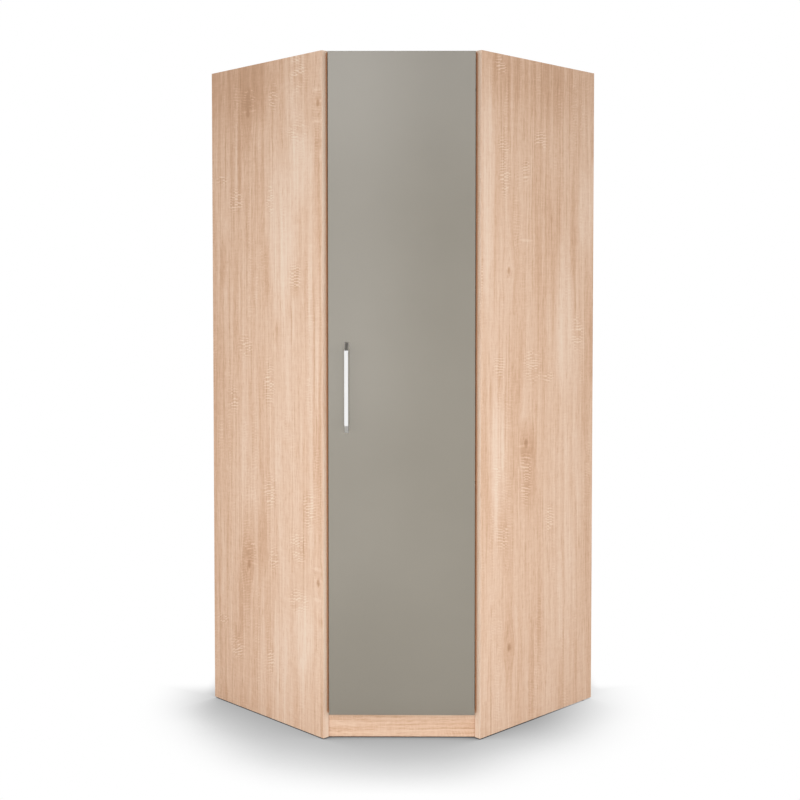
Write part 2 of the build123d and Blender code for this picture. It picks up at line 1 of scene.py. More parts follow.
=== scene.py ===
import math
import bpy
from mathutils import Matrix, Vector

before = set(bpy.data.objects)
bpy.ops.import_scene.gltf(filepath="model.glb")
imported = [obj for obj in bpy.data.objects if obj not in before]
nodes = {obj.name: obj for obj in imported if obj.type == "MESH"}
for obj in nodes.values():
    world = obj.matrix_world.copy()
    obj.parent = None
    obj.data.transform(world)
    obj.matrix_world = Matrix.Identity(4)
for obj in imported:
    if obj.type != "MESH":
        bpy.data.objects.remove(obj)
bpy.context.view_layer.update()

# The room's two walls run at 45 degrees to the view. These are the ways to the back, towards each
# wall, and the ways that the end panels face.
UP = Vector((0, 0, 1))
RIGHT = Vector((1, 0, 0))
BACK = Vector((0, 1, 0))
LEFT_WALL_WAY = Vector((-1, 1, 0)).normalized()
RIGHT_WALL_WAY = Vector((1, 1, 0)).normalized()
LEFT_FACE = Vector((-1, -1, 0)).normalized()
RIGHT_FACE = Vector((1, -1, 0)).normalized()

WHITE = (1, 1, 1, 1)

# Most values of a noise lie between these two.
NOISE_LOW, NOISE_HIGH = 0.3, 0.7


def linear(red, green, blue):
    """Turns an sRGB colour of 0 to 255 into Blender's linear colour."""
    parts = []
    for value in (red, green, blue):
        share = value / 255
        if share <= 0.04045:
            parts.append(share / 12.92)
        else:
            parts.append(((share + 0.055) / 1.055) ** 2.4)
    return (*parts, 1)


class Shader:
    """A material's node tree, with one short call per node."""

    def __init__(self, name):
        self.material = bpy.data.materials.new(name)
        self.material.use_nodes = True
        self.tree = self.material.node_tree
        self.tree.nodes.clear()
        self.output = self.tree.nodes.new("ShaderNodeOutputMaterial")

    def feed(self, socket, value):
        """Links a socket to another one, or sets its value. None leaves it as it is."""
        if isinstance(value, bpy.types.NodeSocket):
            self.tree.links.new(value, socket)
        elif value is not None:
            socket.default_value = value

    def add(self, kind, **settings):
        node = self.tree.nodes.new(kind)
        for name, value in settings.items():
            setattr(node, name, value)
        return node

    def math(self, operation, first, second=None, third=None):
        node = self.add("ShaderNodeMath", operation=operation)
        for socket, value in zip(node.inputs, (first, second, third)):
            self.feed(socket, value)
        return node.outputs[0]

    def total(self, *values):
        result = values[0]
        for value in values[1:]:
            result = self.math("ADD", result, value)
        return result

    def product(self, *values):
        result = values[0]
        for value in values[1:]:
            result = self.math("MULTIPLY", result, value)
        return result

    def span(self, value, low, high, to_low=0.0, to_high=1.0, kind="SMOOTHSTEP"):
        """Carries low..high of a value over to to_low..to_high, and holds it outside."""
        node = self.add("ShaderNodeMapRange", interpolation_type=kind, clamp=True)
        self.feed(node.inputs["Value"], value)
        node.inputs["From Min"].default_value = low
        node.inputs["From Max"].default_value = high
        node.inputs["To Min"].default_value = to_low
        node.inputs["To Max"].default_value = to_high
        return node.outputs["Result"]

    def spread(self, noise, to_low, to_high):
        """Carries the usual range of a noise over to to_low..to_high."""
        return self.span(noise, NOISE_LOW, NOISE_HIGH, to_low, to_high, "LINEAR")

    def colour_mix(self, share, first, second):
        node = self.add("ShaderNodeMix", data_type="RGBA")
        self.feed(node.inputs[0], share)
        self.feed(node.inputs[6], first)
        self.feed(node.inputs[7], second)
        return node.outputs[2]

    def combine(self, x, y, z):
        node = self.add("ShaderNodeCombineXYZ")
        for socket, value in zip(node.inputs, (x, y, z)):
            self.feed(socket, value)
        return node.outputs[0]

    def object_point(self):
        return self.add("ShaderNodeTexCoord").outputs["Object"]

    def dot(self, vector, way):
        node = self.add("ShaderNodeVectorMath", operation="DOT_PRODUCT")
        self.feed(node.inputs[0], vector)
        node.inputs[1].default_value = way
        return node.outputs["Value"]

    def axes(self, *ways):
        """The object's point, measured along each of the directions."""
        point = self.object_point()
        return [self.dot(point, way) for way in ways]

    def noise(self, vector, scale, detail=2.0, roughness=0.5):
        node = self.add("ShaderNodeTexNoise")
        self.feed(node.inputs["Vector"], vector)
        node.inputs["Scale"].default_value = scale
        node.inputs["Detail"].default_value = detail
        node.inputs["Roughness"].default_value = roughness
        return node.outputs[0]

    def layer(self, u, n, v, rate_u, rate_v, detail, roughness=0.5):
        """Noise with its own number of waves per metre across (u) and along (v) a board."""
        point = self.combine(self.product(u, rate_u), n, self.product(v, rate_v))
        return self.noise(point, 1.0, detail, roughness)

    def ramp(self, value, stops):
        node = self.add("ShaderNodeValToRGB")
        self.feed(node.inputs[0], value)
        elements = node.color_ramp.elements
        while len(elements) < len(stops):
            elements.new(0.5)
        for element, (place, colour) in zip(elements, stops):
            element.position = place
            element.color = colour
        return node.outputs[0]

    def two_tone(self, noise, dark, light):
        return self.ramp(noise, ((NOISE_LOW, dark), (NOISE_HIGH, light)))

    def bump(self, height, distance, strength):
        node = self.add("ShaderNodeBump")
        self.feed(node.inputs["Height"], height)
        node.inputs["Distance"].default_value = distance
        node.inputs["Strength"].default_value = strength
        return node.outputs[0]

    def emission(self, colour=None, strength=None):
        node = self.add("ShaderNodeEmission")
        self.feed(node.inputs["Color"], colour)
        self.feed(node.inputs["Strength"], strength)
        return node.outputs[0]

    def finish(self, closure):
        self.tree.links.new(closure, self.output.inputs["Surface"])
        return self.material

    def surface(self, colour, roughness, metallic=0.0, normal=None, **sockets):
        node = self.add("ShaderNodeBsdfPrincipled")
        self.feed(node.inputs["Base Color"], colour)
        self.feed(node.inputs["Roughness"], roughness)
        node.inputs["Metallic"].default_value = metallic
        self.feed(node.inputs["Normal"], normal)
        for name, value in sockets.items():
            self.feed(node.inputs[name.replace("_", " ")], value)
        return self.finish(node.outputs[0])


# Oak-effect board. Lengths are in metres, and rates in waves or pieces per metre: across the grain
# first, then along it. The tone runs from 0, dark, to 1, pale.

OAK_DARK = linear(185, 142, 108)
OAK_BROWN = linear(203, 161, 129)
OAK_MIDDLE = linear(221, 184, 155)
OAK_LIGHT = linear(233, 203, 179)
OAK_PALE = linear(240, 219, 198)
OAK_STOPS = (
    (0.10, OAK_DARK), (0.32, OAK_BROWN), (0.5, OAK_MIDDLE), (0.68, OAK_LIGHT), (0.92, OAK_PALE))
PRINT_STOPS = ((0.25, OAK_BROWN), (0.5, OAK_MIDDLE), (0.75, OAK_LIGHT))
OAK_ROUGHNESS = (0.52, 0.44)

# The depth of the foil's relief, and what the streaks, fibres and saw ticks add to it.
OAK_BUMP = 0.00025
STREAK_RELIEF, FIBRE_RELIEF, TICK_RELIEF = 0.3, 0.6, 0.25

# What bends the grain sideways: rates, detail and size of the swing.
GRAIN_BENDS = ((3.0, 0.9, 2.0, 0.03), (9.0, 4.5, 1.0, 0.006), (30.0, 17.0, 1.0, 0.004))

# The lamellas that the board is glued from, and the narrower bands within them: how many per metre,
# how fast the tone changes along each of them, and how far it swings. PICK_SPREAD sets the tones of
# neighbours apart.
WIDE_LAMELLAS, WIDE_SWING = (13.0, 1.5), 0.32
SLIM_LAMELLAS, SLIM_SWING = (38.0, 2.6), 0.42
PICK_SPREAD = 37.0

# Layers of the grain: rates, detail and roughness, and how far each one swings or changes the tone.
DRIFT, DRIFT_SWING = (11.0, 0.9, 2.0), 0.26
STREAK, STREAK_SWING = (95.0, 6.0, 3.0, 0.62), 0.12
FIBRE, FIBRE_SWING = (240.0, 42.0, 3.0, 0.62), 0.27
CROSS, CROSS_SWING = (34.0, 230.0, 2.0), 0.14
PORES, PORE_SWING = (1100.0, 75.0, 1.0), 0.18
HAIRS, HAIR_SPAN, HAIR_CHANGE, HAIR_MEAN = (330.0, 30.0, 2.0, 0.6), (0.55, 0.7), -0.12, 0.016
FLECKS, FLECK_SPAN, FLECK_CHANGE = (75.0, 7.0, 2.0), (0.62, 0.78), -0.14

# Pale saw marks across the grain: how many per metre, the height where they run level and how they
# fan out across the board, and how they shift and wobble from one lamella to the next. They show in
# sawn places, which are a little darker, and more weakly in clouds all over the board.
SAW_MARKS = 108.0
SAW_LEVEL = 1.36
SAW_FANNING = -0.28
SAW_SHIFT = 4.0
SAW_WOBBLE, SAW_WOBBLE_SIZE = (9.0, 22.0, 2.0), 2.8
SAW_LINE_SPAN = (-0.1, 0.95)
SAW_BREAKS, SAW_BREAK_SPAN = (36.0, 60.0, 1.0), (0.3, 0.6)
SAW_CLOUDS, SAW_CLOUD_SPAN, SAW_CLOUD_SHARE = (24.0, 3.6, 2.0), (0.5, 0.7), 0.34
TICK_CHANGE, SAWN_CHANGE = 0.31, -0.07

# Knots bend the grain round them and have a dark eye, both sized by the knot's reach. Dark strips
# keep to their lamella. Pale spots and washes are soft ellipses. The darker washes at the top and
# the outer edge of the end panels are partly painted shade.
KNOT_HALF, KNOT_SOFTNESS, KNOT_PULL = (1.0, 2.2), 0.9, 0.8
EYE_HALF, EYE_SOFTNESS, EYE_DEPTH, EYE_GRAIN = (0.26, 0.42), 0.6, 0.06, 0.5
DARK_DEPTH, DARK_GRAIN, DARK_BASE = 0.14, 1.6, -0.1
STRIP_SIDE, STRIP_END = (1.12, 0.9), (1.5, 0.5)
PALE_CHANGE = 0.12
WASH_SOFTNESS = 0.95

# Painted shade: a brown line darkened into the creases beside the door and over the plinth.
OAK_CREASE_SHADE = linear(202, 134, 88)
CREASE_SHADE_REACH = 0.012
CREASE_SHADE_SAMPLES = 8
CREASE_SHADE_SPAN = (0.62, 0.42)

# Raw chipboard at cut edges, where the surface doesn't face through the board.
CHIP_STOPS = ((0.3, linear(150, 116, 82)), (0.75, linear(214, 184, 146)))
CHIP_RATE = 260.0
SPECK_RATE = 420.0
EDGE_SPAN = (0.6, 0.4)
EDGE_ROUGHER = 0.35
EDGE_COARSER = 2.0


def offset(shader, value, centre, half):
    """How far a value is from a centre, counted in half sizes."""
    return shader.math("MULTIPLY_ADD", value, 1 / half, -centre / half)


def spot(shader, u, v, centre_u, centre_v, half_u, half_v, softness=0.45):
    """1 in the middle of an ellipse on the board, falling softly to 0 outside it."""
    far = shader.add("ShaderNodeVectorMath", operation="LENGTH")
    shader.feed(far.inputs[0], shader.combine(
        offset(shader, u, centre_u, half_u), offset(shader, v, centre_v, half_v), 0.0))
    return shader.span(far.outputs["Value"], 1.0 + softness, 1.0 - softness)


def strip(shader, across, v, centre_u, centre_v, half_u, half_v):
    """1 on a stretch of one lamella, with sharp sides and soft ends."""
    beside = shader.math("ABSOLUTE", offset(shader, across, centre_u, half_u))
    beyond = shader.math("ABSOLUTE", offset(shader, v, centre_v, half_v))
    return shader.product(shader.span(beside, *STRIP_SIDE), shader.span(beyond, *STRIP_END))


def centred(shader, value, size):
    """A 0 to 1 pattern turned into a swing of the tone, up and down."""
    return shader.math("MULTIPLY_ADD", value, size, -size / 2)


def lamellas(shader, bent, v, per_metre, change_rate):
    """Three random picks for each lamella, and a tone that changes slowly along it."""
    cells = shader.add("ShaderNodeTexVoronoi", voronoi_dimensions="1D", feature="F1")
    shader.feed(cells.inputs["W"], shader.product(bent, per_metre))
    picks = shader.add("ShaderNodeSeparateColor")
    shader.feed(picks.inputs[0], cells.outputs["Color"])
    tone = shader.noise(shader.combine(
        shader.product(picks.outputs[0], PICK_SPREAD),
        shader.product(picks.outputs[1], PICK_SPREAD),
        shader.product(v, change_rate)), 1.0, 1.0)
    return picks.outputs, tone


def saw_marks(shader, u, n, v, bent, picks, places):
    """The saw's ticks across the grain, and how sawn each place of the board is."""
    phase = shader.total(
        shader.product(
            shader.math("SUBTRACT", v, SAW_LEVEL),
            shader.math("MULTIPLY_ADD", u, SAW_FANNING, 1.0), SAW_MARKS),
        shader.product(picks[2], SAW_SHIFT),
        shader.product(shader.layer(picks[0], n, v, *SAW_WOBBLE), SAW_WOBBLE_SIZE))
    wave = shader.math("SINE", shader.product(phase, 2 * math.pi))
    line = shader.span(wave, *SAW_LINE_SPAN)
    broken = shader.span(shader.layer(bent, n, v, *SAW_BREAKS), *SAW_BREAK_SPAN)
    cloud = shader.span(shader.layer(bent, n, v, *SAW_CLOUDS), *SAW_CLOUD_SPAN)
    sawn = shader.product(cloud, SAW_CLOUD_SHARE)
    for place in places:
        sawn = shader.math("MAXIMUM", sawn, spot(shader, u, v, *place))
    return shader.product(line, broken, sawn), sawn


def oak(name, across, through, along, shift=0.0, sawn_spots=(), dark_spots=(), pale_spots=(),
        knots=(), washes_and_painted_shade=(), raw_edges=True, contrast=1.0, lift=0.0, painted_crease_shade=False):
    """Oak-effect foil with its grain along one direction, and chipboard at raw edges.

    A shift picks another stretch of the print. A lift raises the whole tone.
    """
    shader = Shader(name)
    u, n, v = shader.axes(across, through, along)
    shifted = shader.math("ADD", u, shift)
    bent = shifted
    for *layer, size in GRAIN_BENDS:
        bent = shader.total(bent, centred(shader, shader.layer(shifted, n, v, *layer), size))
    core = None
    for centre_u, centre_v, reach in knots:
        near = spot(
            shader, u, v, centre_u, centre_v, *(reach * half for half in KNOT_HALF), KNOT_SOFTNESS)
        beside = shader.math("SUBTRACT", u, centre_u)
        bent = shader.math("SUBTRACT", bent, shader.product(beside, near, KNOT_PULL))
        eye = spot(
            shader, u, v, centre_u, centre_v, *(reach * half for half in EYE_HALF), EYE_SOFTNESS)
        core = eye if core is None else shader.math("MAXIMUM", core, eye)

    wide_picks, wide_tone = lamellas(shader, bent, v, *WIDE_LAMELLAS)
    slim_tone = lamellas(shader, bent, v, *SLIM_LAMELLAS)[1]
    streak = shader.layer(bent, n, v, *STREAK)
    fibre = shader.layer(bent, n, v, *FIBRE)
    hairs = shader.span(shader.layer(bent, n, v, *HAIRS), *HAIR_SPAN)
    flecks = shader.span(shader.layer(bent, n, v, *FLECKS), *FLECK_SPAN)
    ticks, sawn = saw_marks(shader, u, n, v, bent, wide_picks, sawn_spots)
    tone = shader.total(
        0.5 + lift,
        centred(shader, wide_tone, WIDE_SWING * contrast),
        centred(shader, slim_tone, SLIM_SWING * contrast),
        centred(shader, shader.layer(bent, n, v, *DRIFT), DRIFT_SWING * contrast),
        centred(shader, streak, STREAK_SWING * contrast),
        centred(shader, fibre, FIBRE_SWING * contrast),
        shader.math("MULTIPLY_ADD", hairs, HAIR_CHANGE * contrast, HAIR_MEAN * contrast),
        centred(shader, shader.layer(bent, n, v, *CROSS), CROSS_SWING * contrast),
        centred(shader, shader.layer(bent, n, v, *PORES), PORE_SWING * contrast),
        shader.product(ticks, TICK_CHANGE * contrast),
        shader.product(sawn, SAWN_CHANGE * contrast),
        shader.product(flecks, FLECK_CHANGE * contrast))
    grained = shader.math("MULTIPLY_ADD", slim_tone, DARK_GRAIN, DARK_BASE)
    for centre_u, *rest in dark_spots:
        area = strip(shader, bent, v, centre_u + shift, *rest)
        tone = shader.math("SUBTRACT", tone, shader.product(area, grained, DARK_DEPTH))
    for place in pale_spots:
        area = spot(shader, u, v, *place)
        tone = shader.math("ADD", tone, shader.product(area, PALE_CHANGE))
    if core is not None:
        depth = shader.math("MULTIPLY_ADD", fibre, EYE_GRAIN, EYE_DEPTH)
        tone = shader.math("SUBTRACT", tone, shader.product(core, depth))
    # Washes shift the tone in soft ellipses; the darker ones at the top and outer edge are partly
    # painted shade.
    for *place, change in washes_and_painted_shade:
        area = spot(shader, u, v, *place, WASH_SOFTNESS)
        tone = shader.math("MULTIPLY_ADD", area, change, tone)

    colour = shader.ramp(tone, OAK_STOPS)
    # Painted shade: brown where the surface is enclosed, in the creases by the door and the plinth.
    if painted_crease_shade:
        crease_shade = shader.add("ShaderNodeAmbientOcclusion", samples=CREASE_SHADE_SAMPLES)
        crease_shade.inputs["Distance"].default_value = CREASE_SHADE_REACH
        colour = shader.colour_mix(
            shader.span(crease_shade.outputs["AO"], *CREASE_SHADE_SPAN), colour, OAK_CREASE_SHADE)
    roughness = shader.spread(streak, *OAK_ROUGHNESS)
    height = shader.total(
        shader.product(streak, STREAK_RELIEF), shader.product(fibre, FIBRE_RELIEF),
        shader.product(ticks, TICK_RELIEF))
    if raw_edges:
        normal = shader.add("ShaderNodeTexCoord").outputs["Normal"]
        facing = shader.math("ABSOLUTE", shader.dot(normal, through))
        edge = shader.span(facing, *EDGE_SPAN)
        chips = shader.noise(shader.combine(u, n, v), CHIP_RATE, 3.0, 0.7)
        speck = shader.add("ShaderNodeTexVoronoi", feature="F1")
        shader.feed(speck.inputs["Vector"], shader.combine(u, n, v))
        speck.inputs["Scale"].default_value = SPECK_RATE
        chip_tone = shader.total(
            shader.product(chips, 0.7), shader.product(speck.outputs["Distance"], 0.5))
        colour = shader.colour_mix(edge, colour, shader.ramp(chip_tone, CHIP_STOPS))
        roughness = shader.total(roughness, shader.product(edge, EDGE_ROUGHER))
        height = shader.total(height, shader.product(edge, chips, EDGE_COARSER))
    return shader.surface(colour, roughness, normal=shader.bump(height, OAK_BUMP, 0.6))


# Thin back board. Its print and its brown fibreboard part a little behind the board's middle.

PRINT_DRIFT = (14.0, 0.8, 2.0)
PRINT_STREAK = (170.0, 2.4, 3.0, 0.6)
FELT_RATE = 420.0
FELT_CLOUD_RATE = 6.0
FELT_DARK, FELT_LIGHT = linear(120, 84, 56), linear(164, 124, 88)
HARDBOARD_ROUGHNESS = 0.5
FELT_ROUGHER = 0.25
HARDBOARD_BUMP = 0.0003
BARE_FROM = 0.0015


def hardboard(name, across, through, along, middle):
    """A thin back board: oak-effect print inside the wardrobe, brown fibreboard behind."""
    shader = Shader(name)
    u, n, v = shader.axes(across, through, along)
    streak = shader.layer(u, n, v, *PRINT_STREAK)
    tone = shader.total(
        shader.product(shader.layer(u, n, v, *PRINT_DRIFT), 0.5), shader.product(streak, 0.5))
    point = shader.combine(u, n, v)
    felt = shader.noise(point, FELT_RATE, 4.0, 0.7)
    cloud = shader.noise(point, FELT_CLOUD_RATE, 3.0)
    felt_tone = shader.total(shader.product(felt, 0.7), shader.product(cloud, 0.3))
    behind = shader.math("GREATER_THAN", n, middle + BARE_FROM)
    colour = shader.colour_mix(
        behind, shader.ramp(tone, PRINT_STOPS),
        shader.two_tone(felt_tone, FELT_DARK, FELT_LIGHT))
    roughness = shader.total(HARDBOARD_ROUGHNESS, shader.product(behind, FELT_ROUGHER))
    height = shader.total(shader.product(streak, 0.4), shader.product(behind, felt))
    return shader.surface(colour, roughness, normal=shader.bump(height, HARDBOARD_BUMP, 0.5))


# Door, fittings and dowels. Rates are in waves per metre, and a cloud's size in waves of the grain.

LACQUER_DARK, LACQUER_LIGHT = linear(130, 124, 112), linear(136, 130, 118)
LACQUER_ROUGHNESS = (0.05, 0.09)
LACQUER_CLOUD_RATE = 3.0
LACQUER_GRIT_RATE = 900.0
LACQUER_RIPPLE_RATE = 38.0
LACQUER_BUMP = 0.00012
METAL_BUMP = 0.00003
METAL_CLOUD_SIZE = 12
MOULDED_CLOUD_SIZE = 10
MOULDED_SPREAD = 0.06
BEECH_STOPS = ((0.2, linear(186, 146, 104)), (0.7, linear(226, 194, 152)))
BEECH_ROUGHNESS = 0.65
BEECH_BAND_RATE = 90.0
BEECH_FLECK_RATE = 520.0
BEECH_BUMP = 0.0002


def lacquer(name):
    """High-gloss grey-brown foil, with the faint ripple of a pressed front."""
    shader = Shader(name)
    point = shader.object_point()
    cloud = shader.noise(point, LACQUER_CLOUD_RATE, 3.0)
    grit = shader.noise(point, LACQUER_GRIT_RATE, 2.0)
    tone = shader.total(shader.product(cloud, 0.6), shader.product(grit, 0.4))
    colour = shader.two_tone(tone, LACQUER_DARK, LACQUER_LIGHT)
    roughness = shader.spread(cloud, *LACQUER_ROUGHNESS)
    ripple = shader.noise(point, LACQUER_RIPPLE_RATE, 2.0)
    return shader.surface(
        colour, roughness, normal=shader.bump(ripple, LACQUER_BUMP, 0.25),
        Coat_Weight=0.25, Coat_Roughness=0.04)


def metal(name, dark, light, smooth, rough, rate, stretch=(1.0, 1.0, 1.0)):
    """Plated metal with a fine grain, stretched along the way it was polished or drawn."""
    shader = Shader(name)
    scaled = shader.add("ShaderNodeMapping")
    shader.feed(scaled.inputs["Vector"], shader.object_point())
    scaled.inputs["Scale"].default_value = stretch
    fine = shader.noise(scaled.outputs[0], rate, 3.0, 0.6)
    cloud = shader.noise(scaled.outputs[0], rate / METAL_CLOUD_SIZE, 2.0)
    tone = shader.total(shader.product(fine, 0.5), shader.product(cloud, 0.5))
    colour = shader.two_tone(tone, dark, light)
    roughness = shader.spread(tone, smooth, rough)
    return shader.surface(colour, roughness, 1.0, shader.bump(fine, METAL_BUMP, 0.4))


def moulded(name, dark, light, rough, rate, depth, **sockets):
    """Moulded plastic or rubber with a fine skin."""
    shader = Shader(name)
    point = shader.object_point()
    skin = shader.noise(point, rate, 3.0, 0.6)
    cloud = shader.noise(point, rate / MOULDED_CLOUD_SIZE, 2.0)
    colour = shader.two_tone(cloud, dark, light)
    roughness = shader.spread(skin, rough - MOULDED_SPREAD, rough + MOULDED_SPREAD)
    return shader.surface(
        colour, roughness, normal=shader.bump(skin, depth, 0.5), **sockets)


def beech(name):
    """Dowels, turned from beech with short dark flecks along the rod."""
    shader = Shader(name)
    point = shader.object_point()
    bands = shader.noise(point, BEECH_BAND_RATE, 3.0, 0.6)
    fleck = shader.span(shader.noise(point, BEECH_FLECK_RATE, 2.0), 0.6, 0.75)
    tone = shader.math("SUBTRACT", bands, shader.product(fleck, 0.3))
    colour = shader.ramp(tone, BEECH_STOPS)
    return shader.surface(colour, BEECH_ROUGHNESS, normal=shader.bump(bands, BEECH_BUMP, 0.5))


# Marks on the side panels, mostly of the print. Each has its place across the board and its height,
# then half its width and half its height. A knot has one reach, and a wash ends with its change of
# tone. The darker washes along the top and the left panel's outer edge are partly painted shade.

PRINT_REPEAT = 1.463
PRINT_SIDESTEP = 0.003


def twice(places):
    """The left panel's print comes again further down the board."""
    lower = (
        (across + PRINT_SIDESTEP, height - PRINT_REPEAT, *sizes)
        for across, height, *sizes in places)
    return (*places, *lower)


left_sawn = twice((
    (0.174, 1.995, 0.030, 0.034), (-0.070, 2.043, 0.036, 0.055), (-0.069, 1.872, 0.045, 0.034),
    (0.322, 1.744, 0.028, 0.014), (0.243, 1.669, 0.035, 0.040), (0.068, 1.661, 0.017, 0.048),
    (-0.055, 1.418, 0.026, 0.044), (0.050, 1.985, 0.020, 0.042))) + (
    (0.200, 1.200, 0.034, 0.035), (0.075, 1.085, 0.026, 0.070), (0.262, 1.020, 0.026, 0.040),
    (0.072, 0.735, 0.030, 0.050), (-0.120, 0.700, 0.030, 0.060))
left_dark = twice((
    (0.151, 2.035, 0.058, 0.100), (0.190, 1.930, 0.020, 0.110), (-0.055, 1.405, 0.020, 0.045),
    (0.313, 1.468, 0.016, 0.070), (0.077, 1.435, 0.012, 0.090), (-0.173, 1.821, 0.010, 0.014),
    (0.225, 1.830, 0.012, 0.110)))
left_pale = twice((
    (0.020, 1.560, 0.055, 0.240), (-0.085, 1.760, 0.050, 0.120), (0.174, 1.954, 0.034, 0.004),
    (-0.160, 1.985, 0.020, 0.006), (-0.166, 1.950, 0.018, 0.006), (-0.160, 1.890, 0.020, 0.006)))
left_knots = twice(((0.180, 1.950, 0.030), (-0.165, 1.945, 0.026)))
# The darker washes along the outer edge and along the top are partly painted shade, partly print
# tone.
left_washes_and_shade = (
    (0.360, 1.300, 0.070, 1.300, -0.09), (0.250, 2.070, 0.250, 0.120, -0.13),
    (-0.040, 1.400, 0.110, 0.700, 0.14), (-0.100, 0.350, 0.120, 0.500, 0.05),
    (0.160, 0.900, 0.080, 0.700, 0.03), (-0.020, 1.770, 0.070, 0.130, -0.06))

right_sawn = (
    (-0.080, 1.824, 0.028, 0.028), (-0.075, 1.730, 0.024, 0.065), (0.025, 1.755, 0.019, 0.036),
    (0.099, 1.854, 0.030, 0.028), (-0.095, 2.066, 0.028, 0.026), (-0.187, 1.413, 0.012, 0.070),
    (0.290, 1.240, 0.030, 0.055), (0.060, 1.140, 0.040, 0.050), (-0.100, 1.140, 0.026, 0.040),
    (0.140, 1.100, 0.026, 0.016), (0.030, 0.790, 0.026, 0.090), (-0.110, 0.810, 0.020, 0.030),
    (-0.080, 0.620, 0.030, 0.045), (0.150, 0.640, 0.020, 0.050))
right_dark = (
    (-0.059, 1.955, 0.006, 0.110), (0.166, 1.979, 0.013, 0.120), (0.260, 1.571, 0.012, 0.160),
    (0.030, 0.905, 0.030, 0.060), (0.045, 0.800, 0.030, 0.110), (0.368, 1.860, 0.008, 0.050),
    (0.368, 1.180, 0.008, 0.120), (-0.090, 0.690, 0.012, 0.120), (-0.050, 0.250, 0.014, 0.140))
right_pale = (
    (-0.150, 1.700, 0.030, 0.360), (0.029, 1.535, 0.032, 0.004), (0.330, 1.640, 0.030, 0.130),
    (0.020, 0.888, 0.028, 0.004), (-0.110, 0.860, 0.040, 0.180), (0.220, 1.300, 0.040, 0.260))
right_knots = ((0.030, 0.895, 0.030), (-0.055, 1.440, 0.024), (-0.050, 0.260, 0.026))
# The darker wash along the top is partly painted shade, partly print tone.
right_washes_and_shade = (
    (-0.170, 1.300, 0.050, 0.900, 0.04), (0.200, 0.800, 0.090, 0.500, 0.06),
    (0.050, 2.060, 0.350, 0.100, -0.12), (-0.170, 0.870, 0.040, 0.200, -0.12),
    (-0.100, 0.250, 0.100, 0.400, 0.05), (0.190, 1.500, 0.080, 0.150, -0.05))

left_oak = oak(
    "oak_left", LEFT_WALL_WAY, LEFT_FACE, UP, shift=0.0, sawn_spots=left_sawn,
    dark_spots=left_dark, pale_spots=left_pale, knots=left_knots, washes_and_painted_shade=left_washes_and_shade)
right_oak = oak(
    "oak_right", RIGHT_WALL_WAY, RIGHT_FACE, UP, shift=3.1, sawn_spots=right_sawn,
    dark_spots=right_dark, pale_spots=right_pale, knots=right_knots, washes_and_painted_shade=right_washes_and_shade,
    contrast=0.9)
# The edge bands and the plinth carry the painted crease shade.
left_band = oak(
    "oak_left_band", RIGHT_WALL_WAY, RIGHT_FACE, UP, shift=6.4, raw_edges=False, lift=0.2,
    painted_crease_shade=True)
right_band = oak(
    "oak_right_band", LEFT_WALL_WAY, LEFT_FACE, UP, shift=7.7, raw_edges=False, lift=0.2,
    painted_crease_shade=True)
plinth_oak = oak("oak_plinth", UP, BACK, RIGHT, shift=5.2, contrast=1.1, lift=0.03, painted_crease_shade=True)
deck_oak = oak("oak_deck", BACK, UP, RIGHT, shift=1.9)
deck_band = oak("oak_deck_band", UP, BACK, RIGHT, shift=2.7, raw_edges=False)
post_oak = oak("oak_post", RIGHT, BACK, UP, shift=9.3)

dressing = {
    "left_side_panel": left_oak,
    "right_side_panel": right_oak,
    "left_edge_band": left_band,
    "right_edge_band": right_band,
    "plinth": plinth_oak,
    "top_panel": deck_oak,
    "bottom_panel": deck_oak,
    "hat_shelf": deck_oak,
    "top_edge_band": deck_band,
    "bottom_edge_band": deck_band,
    "shelf_edge_band": deck_band,
    "corner_post": post_oak,
}


def middle_along(node, way):
    """Where the middle of a node lies along a direction."""
    points = [vertex.co.dot(way) for vertex in nodes[node].data.vertices]
    return (min(points) + max(points)) / 2


for side, across, outward in (
        ("left", RIGHT_WALL_WAY, LEFT_WALL_WAY), ("right", LEFT_WALL_WAY, RIGHT_WALL_WAY)):
    node = side + "_back_panel"
    dressing[node] = hardboard("back_" + side, across, outward, UP, middle_along(node, outward))

# The other nodes are dressed by the name of their CAD material. A metal has its dark and light
# colour, its lowest and highest roughness, and the rate and stretch of its grain.
METALS = {
    "handle_chrome": (
        linear(243, 243, 243), linear(249, 249, 248), 0.30, 0.36, 300.0, (6.0, 6.0, 1.0)),
    "rail_chrome": (
        linear(214, 214, 217), linear(234, 234, 236), 0.07, 0.14, 240.0, (1.0, 6.0, 6.0)),
    "bracket_metal": (linear(188, 188, 190), linear(216, 216, 217), 0.24, 0.36, 700.0),
    "zinc_steel": (linear(172, 176, 182), linear(204, 206, 208), 0.28, 0.42, 500.0),
    "hinge_nickel": (linear(186, 183, 178), linear(212, 210, 205), 0.16, 0.28, 800.0),
}
by_slot = {name: metal(name, *finish) for name, finish in METALS.items()}
by_slot["door_gloss"] = lacquer("door_gloss")
by_slot["dowel_wood"] = beech("dowel_wood")
by_slot["black_plastic"] = moulded(
    "black_plastic", linear(30, 27, 25), linear(46, 42, 39), 0.5, 1400.0, 0.00008)
by_slot["clear_rubber"] = moulded(
    "clear_rubber", linear(214, 214, 210), linear(232, 232, 228), 0.35, 1200.0, 0.00005,
    Transmission_Weight=0.5)

for name, obj in nodes.items():
    material = dressing.get(name)
    if material is None:
        slot_name = obj.data.materials[0].name.split(".")[0] if obj.data.materials else ""
        material = by_slot.get(slot_name)
    if material is None:
        raise RuntimeError("no material for " + name)
    obj.data.materials.clear()
    obj.data.materials.append(material)


# Floor. It shows white with a soft grey shadow, and lights the object as a plain matt floor.

